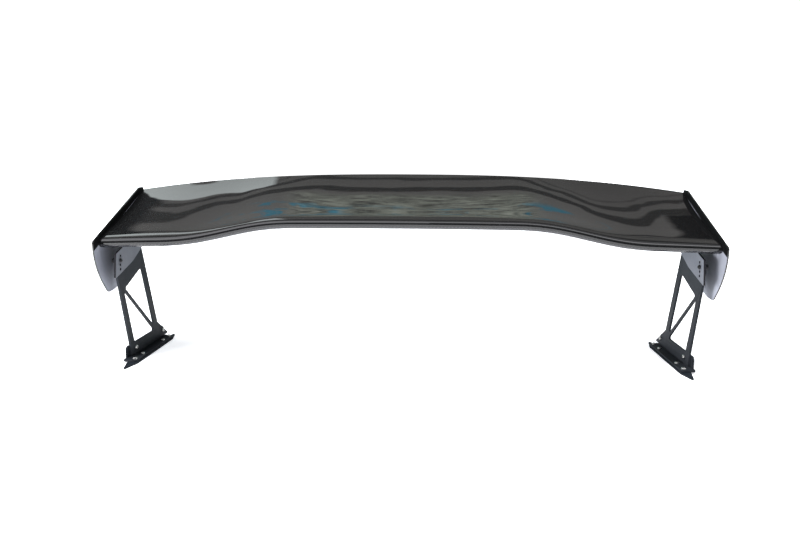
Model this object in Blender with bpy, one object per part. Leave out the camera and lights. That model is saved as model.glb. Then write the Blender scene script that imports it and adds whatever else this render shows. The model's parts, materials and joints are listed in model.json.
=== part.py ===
"""Racing rear wing: a hollow airfoil with end plates, carried on two windowed stands with bolt-on feet.

Metres, +Z up, +X to the right seen from the front, +Y to the rear. The feet stand on Z = 0. The wing is
symmetric about X = 0. Side-view points are given as (y, z), with y measured back from the front of the end
plates; from_front() turns them into the model's Y, whose origin is half way along the object.
"""
import math

import bmesh
import bpy
from mathutils import Vector

# Driving dimensions
SPAN = 1.400
DEPTH = 0.300
GAP = 0.0003
SIDES = {"left": -1.0, "right": 1.0}
ACROSS = (1.0, 0.0, 0.0)

# Airfoil: where its chord line runs, seen from the side, and how the centre is raised
NOSE_Y = 0.024
NOSE_Z_CENTRE = 0.3370
NOSE_STEP = 0.0395
NOSE_STEP_FROM = 0.270
NOSE_STEP_TO = 0.540
NOSE_CROWN = 0.0095
TAIL_Y = 0.268
TAIL_Z_CENTRE = 0.4435
TAIL_ARCH = 0.043
TAIL_ARCH_POWER = 2.5

# Airfoil section, as fractions of the chord
THICKNESS = 0.120
THICKEST_AT = 0.300
NOSE_ROUND = 0.2855
TAIL_THICKNESS = 0.0115
TAIL_SLOPE = 0.140
CAMBER = 0.055
SKIN = 0.0018

# Places along the chord, as fractions of it
FRONT_SPAR_AT = 0.280
REAR_SPAR_AT = 0.680
SPAR_WIDTH = 0.012
FIN_SCREWS_AT = (0.360, 0.560)
END_SCREWS_AT = (0.240, 0.620)
END_RIB_AT = (0.060, 0.860)
FIN_FLANGE_AT = (0.25, 0.35, 0.45, 0.55, 0.67)
FIN_TOP_AT = (0.66, 0.56, 0.46, 0.36, 0.27)

# Places along the span, measured out from the centre
PLATE_THICKNESS = 0.0045
END_PLATE_BOW = 0.0110
PLATE_OUT = SPAN / 2
PLATE_IN = PLATE_OUT - PLATE_THICKNESS
WING_END = PLATE_IN - GAP
END_RIB_WIDTH = 0.009
MOUNT_RIB = (0.635, 0.651)
FIN = (0.6570, 0.6612)
FIN_FLANGE_IN = 0.631
FIN_FLANGE_THICKNESS = 0.0035
FIN_SCREW_X = 0.643
STAND = (0.6625, 0.6675)
FOOT_WEB = (STAND[1] + GAP, STAND[1] + GAP + 0.004)

# Pivot and angle bolt, seen from the side
PIVOT = (0.140, 0.286)
ANGLE_HOLES = ((0.0450, 0.2600), (0.0420, 0.2498), (0.0415, 0.2400), (0.0410, 0.2300))
ANGLE_HOLE_IN_USE = 1
ANGLE_RANGE = math.radians(5.0)

# Foot
PAD_THICKNESS = 0.0035
PAD_X = (0.634, 0.672)
PAD_TIP_X = 0.647
PAD_TIP_HALF = 0.002
PAD_FRONT = 0.005
FOOT_FLANGE_X = 0.637
FOOT_FLANGE_Z = (PAD_THICKNESS + GAP, PAD_THICKNESS + GAP + 0.004)
FOOT_SCREW_X = 0.6465
FOOT_SCREWS_Y = (0.061, 0.102, 0.2215, 0.262)
STAND_BOLTS = ((0.103, 0.0245), (0.262, 0.0245))

# Fasteners: radius of shank, radius and height of head
M5 = {"shank": 0.0025, "head": 0.0050, "height": 0.0027}
M6 = {"shank": 0.0030, "head": 0.0055, "height": 0.0036}
M8 = {"shank": 0.0040, "head": 0.0070, "height": 0.0037}
HEAD_SHAPE = ((1.0, 0.60), (0.70, 0.90), (0.0, 1.0))
HEAD_STEP = 0.0001
HOLE_CLEARANCE = 0.0004
HOLE_DEPTH = 0.008
FIN_SCREW_HOLE_DEPTH = 0.0145
BUSH_WALL = 0.0020
NUT_THICKNESS = 0.0045
NUT_FLATS = 0.95
WASHER_THICKNESS = 0.0012
WASHER_OVERHANG = 0.001
CUTTER_REACH = 0.004
SLOT_STEPS = 6
SLOT_MARGIN = 0.004
SLOT_END_TURNS = (30, 60, 90, 120, 150)
PIVOT_BOLT_LENGTH = 0.0190
ANGLE_BOLT_LENGTH = 0.0190
STAND_BOLT_LENGTH = 0.0160
FIN_SCREW_LENGTH = 0.0180
FOOT_SCREW_LENGTH = 0.0070
END_SCREW_LENGTH = 0.0105
ROUND_STEPS = 12

# Materials: base colour, roughness, metallic
MATERIALS = {
    "carbon": ((0.016, 0.017, 0.018), 0.12, 0.0),
    "black_metal": ((0.020, 0.022, 0.026), 0.45, 0.6),
    "steel": ((0.62, 0.62, 0.60), 0.25, 1.0),
    "black_steel": ((0.030, 0.030, 0.032), 0.35, 0.8),
    "rubber": ((0.018, 0.021, 0.026), 0.75, 0.0),
    "bronze": ((0.45, 0.30, 0.12), 0.40, 1.0),
}


def clear_scene():
    for old in list(bpy.data.objects):
        bpy.data.objects.remove(old, do_unlink=True)


def material(name):
    found = bpy.data.materials.get(name)
    if found:
        return found
    colour, roughness, metallic = MATERIALS[name]
    made = bpy.data.materials.new(name)
    made.use_nodes = True
    shader = made.node_tree.nodes["Principled BSDF"]
    shader.inputs["Base Color"].default_value = (*colour, 1.0)
    shader.inputs["Roughness"].default_value = roughness
    shader.inputs["Metallic"].default_value = metallic
    return made


def from_front(y):
    return y - DEPTH / 2


# ---------------------------------------------------------------- mesh helpers

def loft(name, rings, finish, origin=(0.0, 0.0, 0.0)):
    """One closed solid through a list of rings with equal counts; the first and last ring are capped."""
    mesh = bmesh.new()
    base = Vector(origin)
    rows = [[mesh.verts.new(Vector(point) - base) for point in ring] for ring in rings]
    for low, high in zip(rows, rows[1:]):
        for i in range(len(low)):
            j = (i + 1) % len(low)
            mesh.faces.new((low[i], low[j], high[j], high[i]))
    mesh.faces.new(rows[0])
    mesh.faces.new(list(reversed(rows[-1])))
    return finish_object(name, mesh, finish, origin)


def collar(name, rings, finish, origin):
    """One closed ring-shaped solid: the last ring joins back to the first."""
    mesh = bmesh.new()
    base = Vector(origin)
    rows = [[mesh.verts.new(Vector(point) - base) for point in ring] for ring in rings]
    for low, high in zip(rows, rows[1:] + rows[:1]):
        for i in range(len(low)):
            j = (i + 1) % len(low)
            mesh.faces.new((low[i], low[j], high[j], high[i]))
    return finish_object(name, mesh, finish, origin)


def finish_object(name, mesh, finish, origin):
    bmesh.ops.recalc_face_normals(mesh, faces=mesh.faces)
    data = bpy.data.meshes.new(name)
    mesh.to_mesh(data)
    mesh.free()
    made = bpy.data.objects.new(name, data)
    made.location = origin
    bpy.context.collection.objects.link(made)
    if finish:
        data.materials.append(material(finish))
    data.shade_smooth()
    data.set_sharp_from_angle(angle=math.radians(35.0))
    return made


def rounded(corners, steps=4):
    """A closed outline from (a, b, radius) corners, each radius turned into a short arc."""
    outline = []
    for i, (a, b, radius) in enumerate(corners):
        here = Vector((a, b))
        before = (Vector(corners[i - 1][:2]) - here).normalized()
        after = (Vector(corners[(i + 1) % len(corners)][:2]) - here).normalized()
        if radius <= 0.0:
            outline.append(tuple(here))
            continue
        half = before.angle(after) / 2
        centre = here + (before + after).normalized() * (radius / math.sin(half))
        start = here + before * (radius / math.tan(half)) - centre
        turn = before.angle_signed(after)
        sweep = math.copysign(math.pi - abs(turn), turn)
        for k in range(steps + 1):
            swing = sweep * k / steps
            c, s = math.cos(swing), math.sin(swing)
            outline.append((centre.x + start.x * c - start.y * s, centre.y + start.x * s + start.y * c))
    return outline


def side_plate(name, outline, x_from, x_to, finish):
    """A flat plate standing along the car: a (y, z) outline between two places across the span."""
    rings = [[(x, from_front(y), z) for y, z in outline] for x in (x_from, x_to)]
    return loft(name, rings, finish)


def flat_plate(name, outline, z_from, z_to, finish):
    """A plate lying down: an (x, y) outline between two heights."""
    rings = [[(x, from_front(y), z) for x, y in outline] for z in (z_from, z_to)]
    return loft(name, rings, finish)


def ring_about(centre, axis, radius, steps=ROUND_STEPS, hexagon=False):
    """Points around an axis; a hexagon keeps the same count, with its flats at this radius."""
    axis = Vector(axis).normalized()
    side = axis.orthogonal().normalized()
    other = axis.cross(side)
    points = []
    for k in range(steps):
        angle = 2 * math.pi * k / steps
        reach = radius
        if hexagon:
            reach = radius / math.cos((angle % (math.pi / 3)) - math.pi / 6)
        points.append(Vector(centre) + (side * math.cos(angle) + other * math.sin(angle)) * reach)
    return points


def turned(name, start, axis, profile, finish, steps=ROUND_STEPS):
    """A solid of revolution: profile is (distance along the axis, radius) from end to end."""
    axis = Vector(axis).normalized()
    rings = [ring_about(Vector(start) + axis * along, axis, radius, steps) for along, radius in profile]
    return loft(name, rings, finish, tuple(start))


def bolt(name, seat, axis, size, length, finish):
    """A button-head bolt: the head stands on the seat against the axis, the shank runs along it."""
    head, height, shank = size["head"], size["height"], size["shank"]
    profile = [(-height * up, head * wide) for up, wide in HEAD_SHAPE]
    profile += [(HEAD_STEP, shank), (length, shank)]
    return turned(name, seat, axis, profile, finish)


def nut(name, seat, axis, size, finish):
    """A hexagon nut with a round bore, standing on the seat along the axis."""
    far = Vector(seat) + Vector(axis) * NUT_THICKNESS
    flats = size["head"] * NUT_FLATS
    bore = size["shank"] + HOLE_CLEARANCE
    rings = [
        ring_about(seat, axis, flats, hexagon=True),
        ring_about(far, axis, flats, hexagon=True),
        ring_about(far, axis, bore),
        ring_about(seat, axis, bore),
    ]
    return collar(name, rings, finish, tuple(seat))


def sleeve(name, seat, axis, length, outer, inner, finish):
    """A plain round sleeve or washer."""
    far = Vector(seat) + Vector(axis) * length
    rings = [ring_about(seat, axis, outer), ring_about(far, axis, outer)]
    rings += [ring_about(far, axis, inner), ring_about(seat, axis, inner)]
    return collar(name, rings, finish, tuple(seat))


def combine(target, other, operation):
    """Leaves a Boolean on the target; the other solid becomes a wire guide."""
    other.hide_render = True
    other.display_type = "WIRE"
    step = target.modifiers.new(operation.lower(), "BOOLEAN")
    step.operation = operation
    step.object = other


def drill(target, centre, axis, radius, depth):
    """A round hole through the centre point, this deep each way."""
    axis = Vector(axis).normalized()
    start = Vector(centre) - axis * depth
    cutter = turned(f"{target.name}_cutter", start, axis, [(0.0, radius), (2 * depth, radius)], None)
    combine(target, cutter, "DIFFERENCE")


# ---------------------------------------------------------------- airfoil geometry

def smooth_step(value, low, high):
    t = min(1.0, max(0.0, (value - low) / (high - low)))
    return t * t * (3 - 2 * t)


def chord_ends(x):
    """Nose and tail of the chord line at this place across the span, as (y, z)."""
    out = abs(x)
    share = out / (SPAN / 2)
    step = NOSE_STEP * smooth_step(out, NOSE_STEP_FROM, NOSE_STEP_TO)
    nose_z = NOSE_Z_CENTRE - step - NOSE_CROWN * share ** 2
    tail_z = TAIL_Z_CENTRE - TAIL_ARCH * share ** TAIL_ARCH_POWER
    return Vector((NOSE_Y, nose_z)), Vector((TAIL_Y, tail_z))


def half_thickness(s):
    """A blunt rounded nose up to the thickest place, then a cubic down to the blunt tail."""
    root = math.sqrt(THICKEST_AT)
    quad = (NOSE_ROUND * root / 2 - THICKNESS / 2) / THICKEST_AT ** 2
    linear = -NOSE_ROUND / (2 * root) - 2 * quad * THICKEST_AT
    if s < THICKEST_AT:
        return NOSE_ROUND * math.sqrt(max(0.0, s)) + linear * s + quad * s * s
    span = 1 - THICKEST_AT
    t = (s - THICKEST_AT) / span
    start = (2 * t ** 3 - 3 * t ** 2 + 1) * THICKNESS / 2
    end = (3 * t ** 2 - 2 * t ** 3) * TAIL_THICKNESS / 2
    slope = (t ** 3 - t ** 2) * -TAIL_SLOPE * span
    return start + end + slope


def camber(s):
    return -4 * CAMBER * s * (1 - s)


def on_section(x, s, side, inset=0.0):
    """A point (y, z) of the section at x: side +1 is the top surface, -1 the lower one, 0 the middle.

    inset moves the point that many metres towards the middle line; a negative inset moves it out.
    """
    nose, tail = chord_ends(x)
    along = tail - nose
    normal = Vector((-along.y, along.x))
    offset = camber(s) + side * half_thickness(s)
    point = nose + along * s + normal * offset
    return point - normal.normalized() * side * inset


OUTER_STATIONS = (
    0.002, 0.010, 0.025, 0.050, 0.090, 0.150, 0.230, 0.330, 0.450, 0.580, 0.710, 0.830, 0.930, 1.0,
)
INNER_STATIONS = (1.0, 0.880, 0.760, 0.640, 0.500, 0.360, 0.220, 0.110, 0.045, 0.016)
HALF_SPAN_STATIONS = (0.0, 0.13, 0.23, 0.29, 0.33, 0.37, 0.41, 0.45, 0.49, 0.54, 0.59, 0.635, 0.665)


def span_stations(end):
    half = [x for x in HALF_SPAN_STATIONS if x < end - 0.002] + [end]
    return [-x for x in reversed(half[1:])] + half


def inner_gap(x, s):
    """Half the height of the hollow at s, in metres: what is left inside the two skins."""
    nose, tail = chord_ends(x)
    chord = (tail - nose).length
    return max(GAP / 2, half_thickness(s - SKIN / chord) * chord - SKIN)


def hollow_edge(x, s, side, clearance=0.0):
    """A point on the inner face of a skin, on the straight line between two inner stations."""
    stations = sorted(INNER_STATIONS)
    high = next(i for i, station in enumerate(stations) if station >= s)
    low = max(0, high - 1)
    ends = [from_middle(x, stations[i], side * inner_gap(x, stations[i])) for i in (low, high)]
    share = 0.0 if high == low else (s - stations[low]) / (stations[high] - stations[low])
    point = ends[0].lerp(ends[1], share)
    nose, tail = chord_ends(x)
    along = tail - nose
    normal = Vector((-along.y, along.x)).normalized()
    return point - normal * side * clearance


def from_middle(x, s, height):
    """A point this many metres above the middle line of the section."""
    nose, tail = chord_ends(x)
    along = tail - nose
    normal = Vector((-along.y, along.x))
    return nose + along * s + normal * camber(s) + normal.normalized() * height


def skin_ring(x, side):
    points = [from_middle(x, 0.0, side * GAP / 2)]
    points += [on_section(x, s, side) for s in OUTER_STATIONS]
    points += [from_middle(x, s, side * inner_gap(x, s)) for s in INNER_STATIONS]
    return [(x, from_front(p.x), p.y) for p in points]


def skins():
    stations = span_stations(WING_END)
    loft("upper_skin", [skin_ring(x, 1) for x in stations], "carbon")
    loft("lower_skin", [skin_ring(x, -1) for x in stations], "carbon")


def spar(name, s):
    """A solid web that fills the height between the skins, from end rib to end rib."""
    end = WING_END - END_RIB_WIDTH - 2 * GAP
    half = SPAR_WIDTH / 2
    rings = []
    for x in span_stations(end):
        corners = [(s - half, 1), (s + half, 1), (s + half, -1), (s - half, -1)]
        points = [hollow_edge(x, at, side, 2 * GAP) for at, side in corners]
        rings.append([(x, from_front(p.x), p.y) for p in points])
    return loft(name, rings, "carbon")


def rib(name, x_from, x_to, s_from, s_to, steps, finish):
    """A solid rib between the skins, from one chord place to another."""
    rings = []
    for x in (x_from, x_to):
        places = [s_from + (s_to - s_from) * k / steps for k in range(steps + 1)]
        points = [hollow_edge(x, s, 1, 2 * GAP) for s in places]
        points += [hollow_edge(x, s, -1, 2 * GAP) for s in reversed(places)]
        rings.append([(x, from_front(p.x), p.y) for p in points])
    return loft(name, rings, finish)


def end_screw_seat(sign, s):
    """Where an end plate screw's flush head sits: in the middle of the airfoil's thickness."""
    x = sign * (PLATE_OUT - HEAD_STEP)
    p = on_section(x, s, 0)
    return Vector((x, from_front(p.x), p.y))


# ---------------------------------------------------------------- wing body

def end_plate_outline():
    """Straight top edge, rounded nose, bowed front edge, rounded bottom tip and a swept-up bottom edge."""
    low, high = Vector((0.0430, 0.1850)), Vector((0.00025, 0.2900))
    front = []
    steps = 8
    for k in range(steps + 1):
        t = k / steps
        point = low.lerp(high, t)
        front.append((point.x - END_PLATE_BOW * 4 * t * (1 - t), point.y, 0.0))
    corners = [(-0.0011, 0.2977, 0.009), (0.2480, 0.4085, 0.012), (0.2740, 0.4090, 0.005)]
    corners += [(0.2700, 0.3150, 0.020), (0.1100, 0.1795, 0.030)]
    corners += [(0.0800, 0.1725, 0.030), (0.0545, 0.1705, 0.014)]
    return rounded(corners + front)


def end_plate(side_name, sign):
    faces = (sign * PLATE_IN, sign * PLATE_OUT)
    plate = side_plate(f"end_plate_{side_name}", end_plate_outline(), *faces, "carbon")
    for number, s in enumerate(END_SCREWS_AT, 1):
        seat = end_screw_seat(sign, s)
        inward = Vector((-sign, 0.0, 0.0))
        screw = f"end_plate_screw_{number}_{side_name}"
        head, shank, depth = M5["head"], M5["shank"], M5["height"]
        cone = [(0.0, head), (depth, shank), (END_SCREW_LENGTH, shank)]
        turned(screw, seat, inward, cone, "black_steel")
        narrow = shank + HOLE_CLEARANCE
        wide = head + 2 * HOLE_CLEARANCE
        sink = [(-HEAD_STEP, wide), (depth + HEAD_STEP, narrow), (HOLE_DEPTH, narrow)]
        cutter = turned(f"{screw}_cutter", seat - inward * HEAD_STEP, inward, sink, None)
        combine(plate, cutter, "DIFFERENCE")


def end_rib(side_name, sign):
    outer = sign * (WING_END - GAP)
    inner = sign * (WING_END - END_RIB_WIDTH)
    made = rib(f"end_rib_{side_name}", inner, outer, *END_RIB_AT, 10, "carbon")
    depth = END_SCREW_LENGTH - PLATE_THICKNESS + 3 * GAP
    for s in END_SCREWS_AT:
        centre = end_screw_seat(sign, s)
        centre.x = outer
        drill(made, centre, ACROSS, M5["shank"] + HOLE_CLEARANCE, depth)


def mount_rib(side_name, sign):
    ends = (FRONT_SPAR_AT + SPAR_WIDTH, REAR_SPAR_AT - SPAR_WIDTH)
    near, far = MOUNT_RIB
    return rib(f"mount_rib_{side_name}", sign * near, sign * far, *ends, 5, "black_metal")


def underside_frame(x, s):
    """A point on the lower skin's outer face, and the direction straight up into the wing there."""
    nose, tail = chord_ends(x)
    along = (tail - nose).normalized()
    point = on_section(x, s, -1)
    return Vector((x, from_front(point.x), point.y)), Vector((0.0, -along.y, along.x))


def fin_outline():
    """The fin's plate; its top edge ends half way up the flange that follows the wing's underside."""
    x = (FIN[0] + FIN[1]) / 2
    inset = -GAP - FIN_FLANGE_THICKNESS * 0.6
    top = [on_section(x, s, -1, inset) for s in FIN_TOP_AT]
    corners = [(0.0250, 0.2675, 0.0020), (0.0155, 0.2118, 0.0020), (0.1050, 0.2390, 0.080)]
    corners += [(0.2000, 0.2870, 0.010)]
    corners += [(p.x, p.y, 0.0) for p in top]
    return rounded(corners, steps=3)


def fin_bracket(side_name, sign):
    """The fin and its flange in one piece, with the pivot bore and the row of angle holes."""
    name = f"fin_bracket_{side_name}"
    fin = side_plate(name, fin_outline(), sign * FIN[0], sign * FIN[1], "black_metal")
    rings = []
    for x in (FIN_FLANGE_IN, FIN_SCREW_X, FIN[1]):
        points = [on_section(x, s, -1, -2 * GAP) for s in FIN_FLANGE_AT]
        lower = -2 * GAP - FIN_FLANGE_THICKNESS
        points += [on_section(x, s, -1, lower) for s in reversed(FIN_FLANGE_AT)]
        rings.append([(sign * x, from_front(p.x), p.y) for p in points])
    combine(fin, loft(f"{name}_flange", rings, None), "UNION")
    middle = sign * (FIN[0] + FIN[1]) / 2
    drill(fin, (middle, from_front(PIVOT[0]), PIVOT[1]), ACROSS, M8["shank"] + HOLE_CLEARANCE, HOLE_DEPTH)
    for y, z in ANGLE_HOLES:
        drill(fin, (middle, from_front(y), z), ACROSS, M6["shank"] + HOLE_CLEARANCE, HOLE_DEPTH)
    return fin


def fin_screws(side_name, sign, drilled):
    """Screws up through the flange and the lower skin into the mount rib."""
    x = sign * FIN_SCREW_X
    for number, s in enumerate(FIN_SCREWS_AT, 1):
        surface, up = underside_frame(x, s)
        seat = surface - up * (FIN_FLANGE_THICKNESS + 4 * GAP)
        bolt(f"fin_screw_{number}_{side_name}", seat, up, M6, FIN_SCREW_LENGTH, "steel")
        for target in drilled:
            drill(target, surface, up, M6["shank"] + HOLE_CLEARANCE, FIN_SCREW_HOLE_DEPTH)


def angle_bolt(side_name, sign):
    y, z = ANGLE_HOLES[ANGLE_HOLE_IN_USE]
    out = Vector((sign, 0.0, 0.0))
    seat = Vector((sign * (FIN[0] - GAP), from_front(y), z))
    bolt(f"angle_bolt_{side_name}", seat, out, M6, ANGLE_BOLT_LENGTH, "black_steel")
    washer_seat = Vector((sign * (STAND[1] + GAP), seat.y, z))
    radii = (M6["head"] + WASHER_OVERHANG, M6["shank"] + HOLE_CLEARANCE)
    sleeve(f"angle_washer_{side_name}", washer_seat, out, WASHER_THICKNESS, *radii, "black_steel")
    nut_seat = washer_seat + out * (WASHER_THICKNESS + GAP)
    nut(f"angle_nut_{side_name}", nut_seat, out, M6, "black_steel")


# ---------------------------------------------------------------- stands

def stand_outline():
    return rounded([
        (0.0785, 0.0081, 0.0), (0.2965, 0.0081, 0.0), (0.2930, 0.0125, 0.003), (0.2340, 0.0545, 0.010),
        (0.1540, 0.3048, 0.012), (0.0370, 0.2610, 0.004), (0.0325, 0.2480, 0.010), (0.0350, 0.2130, 0.010),
        (0.0765, 0.0400, 0.010),
    ])


def about_pivot(reach, angle):
    return PIVOT[0] + reach * math.cos(angle), PIVOT[1] + reach * math.sin(angle)


def angle_slot():
    """An arc slot about the pivot, as wide as the angle bolt, with round ends."""
    y, z = ANGLE_HOLES[ANGLE_HOLE_IN_USE]
    reach = math.hypot(y - PIVOT[0], z - PIVOT[1])
    middle = math.atan2(z - PIVOT[1], y - PIVOT[0])
    half = M6["shank"] + HOLE_CLEARANCE
    swing = ANGLE_RANGE + SLOT_MARGIN
    turns = [swing * (2 * k / SLOT_STEPS - 1) for k in range(SLOT_STEPS + 1)]
    outline = [about_pivot(reach + half, middle + turn) for turn in turns]
    outline += slot_end(reach, middle + swing, half, 1.0)
    outline += [about_pivot(reach - half, middle - turn) for turn in turns]
    outline += slot_end(reach, middle - swing, half, -1.0)
    return outline


def slot_end(reach, angle, half, direction):
    """The points of one rounded slot end, between its outer and inner edge."""
    cy, cz = about_pivot(reach, angle)
    start = angle if direction > 0 else angle + math.pi
    swings = [start + math.radians(turn) for turn in SLOT_END_TURNS]
    return [(cy + half * math.cos(swing), cz + half * math.sin(swing)) for swing in swings]


def stand(side_name, sign):
    faces = (sign * STAND[0], sign * STAND[1])
    made = side_plate(f"stand_{side_name}", stand_outline(), *faces, "black_metal")
    upper = [(0.1605, 0.2155, 0.010), (0.0690, 0.1790, 0.004), (0.2135, 0.0495, 0.003)]
    lower = [(0.0615, 0.1770, 0.003), (0.0985, 0.0385, 0.009), (0.2130, 0.0385, 0.004)]
    for number, outline in enumerate((rounded(upper), rounded(lower), angle_slot()), 1):
        cutter = side_plate(
            f"stand_window_{number}_{side_name}", outline,
            sign * (STAND[0] - CUTTER_REACH), sign * (STAND[1] + CUTTER_REACH), None,
        )
        combine(made, cutter, "DIFFERENCE")
    middle = sign * (STAND[0] + STAND[1]) / 2
    bush_hole = M8["shank"] + HOLE_CLEARANCE + BUSH_WALL + GAP
    drill(made, (middle, from_front(PIVOT[0]), PIVOT[1]), ACROSS, bush_hole, HOLE_DEPTH)
    for y, z in STAND_BOLTS:
        drill(made, (middle, from_front(y), z), ACROSS, M6["shank"] + HOLE_CLEARANCE, HOLE_DEPTH)


def pivot(side_name, sign):
    """The pivot bolt through fin and stand, with a bronze bush in the stand and a nut outside."""
    out = Vector((sign, 0.0, 0.0))
    seat = Vector((sign * (FIN[0] - GAP), from_front(PIVOT[0]), PIVOT[1]))
    bolt(f"pivot_bolt_{side_name}", seat, out, M8, PIVOT_BOLT_LENGTH, "black_steel")
    inner = M8["shank"] + HOLE_CLEARANCE
    bush_seat = Vector((sign * (STAND[0] - GAP), seat.y, seat.z))
    bush_length = STAND[1] - STAND[0] + 2 * GAP
    sleeve(f"pivot_bush_{side_name}", bush_seat, out, bush_length, inner + BUSH_WALL, inner, "bronze")
    nut(f"pivot_nut_{side_name}", bush_seat + out * (bush_length + GAP), out, M8, "black_steel")


def foot_bracket(side_name, sign):
    """An L-shaped bracket: a web outside the stand and a flange under it."""
    name = f"foot_bracket_{side_name}"
    low, high = FOOT_FLANGE_Z
    web = [(0.0655, low, 0.0), (0.2850, low, 0.0), (0.2850, 0.0240, 0.006)]
    web += [(0.2740, 0.0345, 0.006), (0.0715, 0.0345, 0.006), (0.0665, 0.0300, 0.004)]
    made = side_plate(name, rounded(web, 3), sign * FOOT_WEB[0], sign * FOOT_WEB[1], "black_metal")
    flange = [(FOOT_FLANGE_X, 0.0480, 0.008), (FOOT_WEB[1] - 0.0002, 0.0480, 0.008)]
    flange += [(FOOT_WEB[1] - 0.0002, 0.2760, 0.008), (FOOT_FLANGE_X, 0.2760, 0.008)]
    outline = [(sign * x, y) for x, y in rounded(flange, 3)]
    combine(made, flat_plate(f"{name}_flange", outline, low + 0.00005, high, None), "UNION")
    for y, z in STAND_BOLTS:
        middle = sign * (FOOT_WEB[0] + FOOT_WEB[1]) / 2
        drill(made, (middle, from_front(y), z), ACROSS, M6["shank"] + HOLE_CLEARANCE, HOLE_DEPTH)
    drill_foot_screws(made, sign, (low + high) / 2)


def drill_foot_screws(target, sign, height):
    for y in FOOT_SCREWS_Y:
        centre = (sign * FOOT_SCREW_X, from_front(y), height)
        drill(target, centre, (0.0, 0.0, 1.0), M6["shank"] + HOLE_CLEARANCE, HOLE_DEPTH)


def base_pad(side_name, sign):
    """A leaf-shaped pad with a narrow end front and rear."""
    near, far = PAD_X
    leaf = []
    for end, inward in ((PAD_FRONT, 1.0), (DEPTH, -1.0)):
        half = [(near, end + inward * 0.0420, 0.030), (PAD_TIP_X - PAD_TIP_HALF, end, 0.0)]
        half += [(PAD_TIP_X + PAD_TIP_HALF, end, 0.0), (far, end + inward * 0.0900, 0.060)]
        leaf += half if inward > 0 else list(reversed(half))
    outline = [(sign * x, y) for x, y in rounded(leaf, 4)]
    pad = flat_plate(f"base_pad_{side_name}", outline, 0.0, PAD_THICKNESS, "rubber")
    drill_foot_screws(pad, sign, PAD_THICKNESS / 2)


def stand_fasteners(side_name, sign):
    out = Vector((sign, 0.0, 0.0))
    for number, (y, z) in enumerate(STAND_BOLTS, 1):
        seat = Vector((sign * (STAND[0] - GAP), from_front(y), z))
        bolt(f"stand_bolt_{number}_{side_name}", seat, out, M6, STAND_BOLT_LENGTH, "steel")
        nut_seat = Vector((sign * (FOOT_WEB[1] + GAP), seat.y, z))
        nut(f"stand_nut_{number}_{side_name}", nut_seat, out, M6, "steel")
    for number, y in enumerate(FOOT_SCREWS_Y, 1):
        seat = Vector((sign * FOOT_SCREW_X, from_front(y), FOOT_FLANGE_Z[1] + GAP))
        bolt(f"foot_screw_{number}_{side_name}", seat, (0.0, 0.0, -1.0), M6, FOOT_SCREW_LENGTH, "steel")


# ---------------------------------------------------------------- assembly

def build():
    clear_scene()
    skins()
    lower_skin = bpy.data.objects["lower_skin"]
    spar("front_spar", FRONT_SPAR_AT)
    spar("rear_spar", REAR_SPAR_AT)
    for side_name, sign in SIDES.items():
        end_plate(side_name, sign)
        end_rib(side_name, sign)
        rib_made = mount_rib(side_name, sign)
        fin = fin_bracket(side_name, sign)
        fin_screws(side_name, sign, (fin, lower_skin, rib_made))
        angle_bolt(side_name, sign)
        stand(side_name, sign)
        pivot(side_name, sign)
        foot_bracket(side_name, sign)
        base_pad(side_name, sign)
        stand_fasteners(side_name, sign)


build()
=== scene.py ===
"""Looks for the racing rear wing: gloss carbon airfoil and end plates on satin black stands.

Metres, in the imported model's own frame: +X right seen from the front, +Y to the rear, +Z up, feet on Z = 0.
"""

import json
import math

import bmesh
import bpy
from mathutils import Matrix, Vector


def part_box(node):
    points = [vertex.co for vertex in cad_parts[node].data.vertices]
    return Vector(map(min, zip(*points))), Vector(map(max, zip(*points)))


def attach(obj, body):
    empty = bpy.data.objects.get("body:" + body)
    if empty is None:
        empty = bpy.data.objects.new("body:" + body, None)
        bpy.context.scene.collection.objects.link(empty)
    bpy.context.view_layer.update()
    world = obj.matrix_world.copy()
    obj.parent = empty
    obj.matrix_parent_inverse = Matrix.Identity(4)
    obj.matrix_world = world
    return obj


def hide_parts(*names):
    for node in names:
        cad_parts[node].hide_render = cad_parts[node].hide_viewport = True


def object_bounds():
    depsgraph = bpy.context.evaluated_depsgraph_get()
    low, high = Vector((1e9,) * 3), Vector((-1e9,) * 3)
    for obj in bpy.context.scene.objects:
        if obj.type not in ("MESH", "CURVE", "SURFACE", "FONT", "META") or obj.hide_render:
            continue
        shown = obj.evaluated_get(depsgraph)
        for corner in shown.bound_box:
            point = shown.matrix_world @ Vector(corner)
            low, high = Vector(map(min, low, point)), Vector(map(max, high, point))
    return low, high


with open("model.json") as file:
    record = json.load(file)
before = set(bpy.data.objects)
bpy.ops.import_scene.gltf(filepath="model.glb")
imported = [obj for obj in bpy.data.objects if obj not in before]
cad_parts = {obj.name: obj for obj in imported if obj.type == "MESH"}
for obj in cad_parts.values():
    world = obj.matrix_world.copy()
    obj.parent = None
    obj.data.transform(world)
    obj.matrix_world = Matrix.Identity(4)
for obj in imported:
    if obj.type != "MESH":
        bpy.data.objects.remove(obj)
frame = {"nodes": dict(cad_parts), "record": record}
cad_bounds = [[float(v) for v in corner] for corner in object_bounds()]

SIDES = {"left": -1.0, "right": 1.0}
SPAN = cad_bounds[1][0] - cad_bounds[0][0]
FRONT = cad_bounds[0][1]
ACROSS = Vector((1.0, 0.0, 0.0))
DOWN = Vector((0.0, 0.0, -1.0))


def edge(node, corner, axis):
    """One face of a CAD node's box: corner 0 is the lowest, 1 the highest."""
    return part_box(node)[corner][axis]


# ---------------------------------------------------------------- node helpers

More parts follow.
